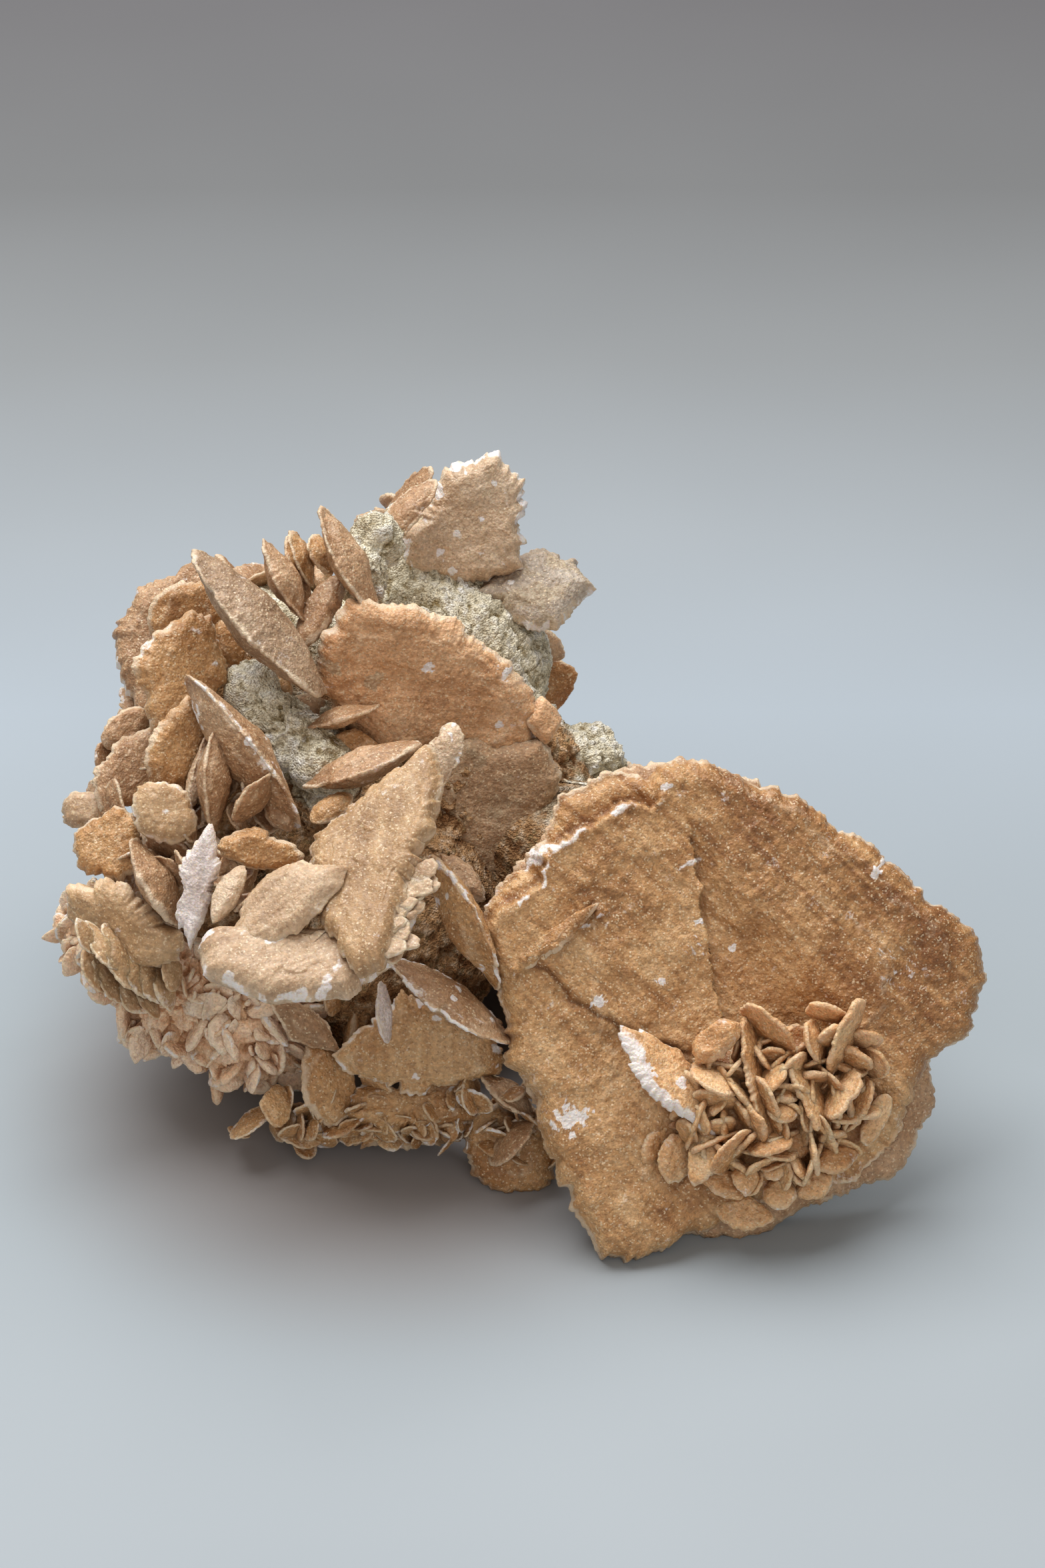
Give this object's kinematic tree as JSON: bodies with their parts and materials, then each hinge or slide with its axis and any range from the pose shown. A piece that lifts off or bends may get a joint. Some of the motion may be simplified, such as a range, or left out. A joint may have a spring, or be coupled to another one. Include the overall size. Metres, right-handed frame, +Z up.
{
  "type": "gypsum sand rose",
  "caption": "Desert rose: a free-standing cluster of lens-shaped gypsum crystals grown in sand, with one great disc-like blade carrying a small rosette",
  "frame": {"origin": "centre of the footprint box, on the surface the cluster rests on", "axes": "+Z up, +X towards the great blade, -Y towards the side the great blade's rosette faces"},
  "size_m": [0.1986, 0.1577, 0.1176],
  "materials": {
    "amber_gypsum": "sugary, faintly translucent honey-brown gypsum with fine growth lines",
    "tan_gypsum": "matt tan gypsum full of sand grains, paler along the rims",
    "pale_gypsum": "pale peach gypsum, frosted and slightly translucent at the edges",
    "pink_gypsum": "pinkish tan gypsum with near-level growth lines and white bloom",
    "lilac_gypsum": "grey-lilac translucent gypsum",
    "grey_gypsum": "dull gypsum coated with grey-green sand",
    "sandy_matrix": "loosely cemented grey-green to cream sand",
    "crumbly_gypsum": "eroded peach gypsum, a mass of tiny broken plates"
  },
  "bodies": {
    "root": {"great_blade": "amber_gypsum", "great_blade_rear": "tan_gypsum", "boat_lens": "pale_gypsum", "front_lens": "tan_gypsum", "tall_plate": "tan_gypsum", "tall_plate_tip": "pale_gypsum", "vee_right": "amber_gypsum", "vee_left": "tan_gypsum", "long_diagonal": "tan_gypsum", "inner_blade_right": "tan_gypsum", "pale_blade": "lilac_gypsum", "cross_lens": "amber_gypsum", "leaf_spine": "tan_gypsum", "leaf_narrow": "pale_gypsum", "leaf_broad": "amber_gypsum", "shell_plate": "amber_gypsum", "left_lens": "tan_gypsum", "left_plate": "amber_gypsum", "lower_left_plate": "pale_gypsum", "fan_front": "amber_gypsum", "fan_middle": "amber_gypsum", "fan_outer": "tan_gypsum", "spike_1": "tan_gypsum", "spike_2": "tan_gypsum", "spike_3": "amber_gypsum", "spike_4": "tan_gypsum", "disc_blade": "tan_gypsum", "leaf_outer_low": "tan_gypsum", "leaf_outer_high": "tan_gypsum", "left_tip": "pale_gypsum", "inner_blade_left": "pale_gypsum", "upper_plate": "pink_gypsum", "recess_plate": "grey_gypsum", "inner_leaf": "pale_gypsum", "inner_lens_low": "amber_gypsum", "inner_block": "grey_gypsum", "crown_plate": "pink_gypsum", "crown_flank": "tan_gypsum", "crown_ledge": "grey_gypsum", "skirt_plate": "tan_gypsum", "skirt_left": "amber_gypsum", "skirt_under": "pale_gypsum", "under_blade": "tan_gypsum", "under_shell": "pale_gypsum", "skirt_foot": "pale_gypsum", "skirt_back": "grey_gypsum", "rear_foot_left": "tan_gypsum", "rear_foot_right": "tan_gypsum", "rear_prop": "amber_gypsum", "rear_plate_high": "pink_gypsum", "rear_plate_mid": "tan_gypsum", "rear_cross_blade": "amber_gypsum", "side_blade_left": "pale_gypsum", "underside_blade": "grey_gypsum", "small_rosette": "amber_gypsum", "crumbly_lobe": "crumbly_gypsum", "sandy_knob": "sandy_matrix", "sand_matrix": "sandy_matrix"}
  },
  "joints": []
}
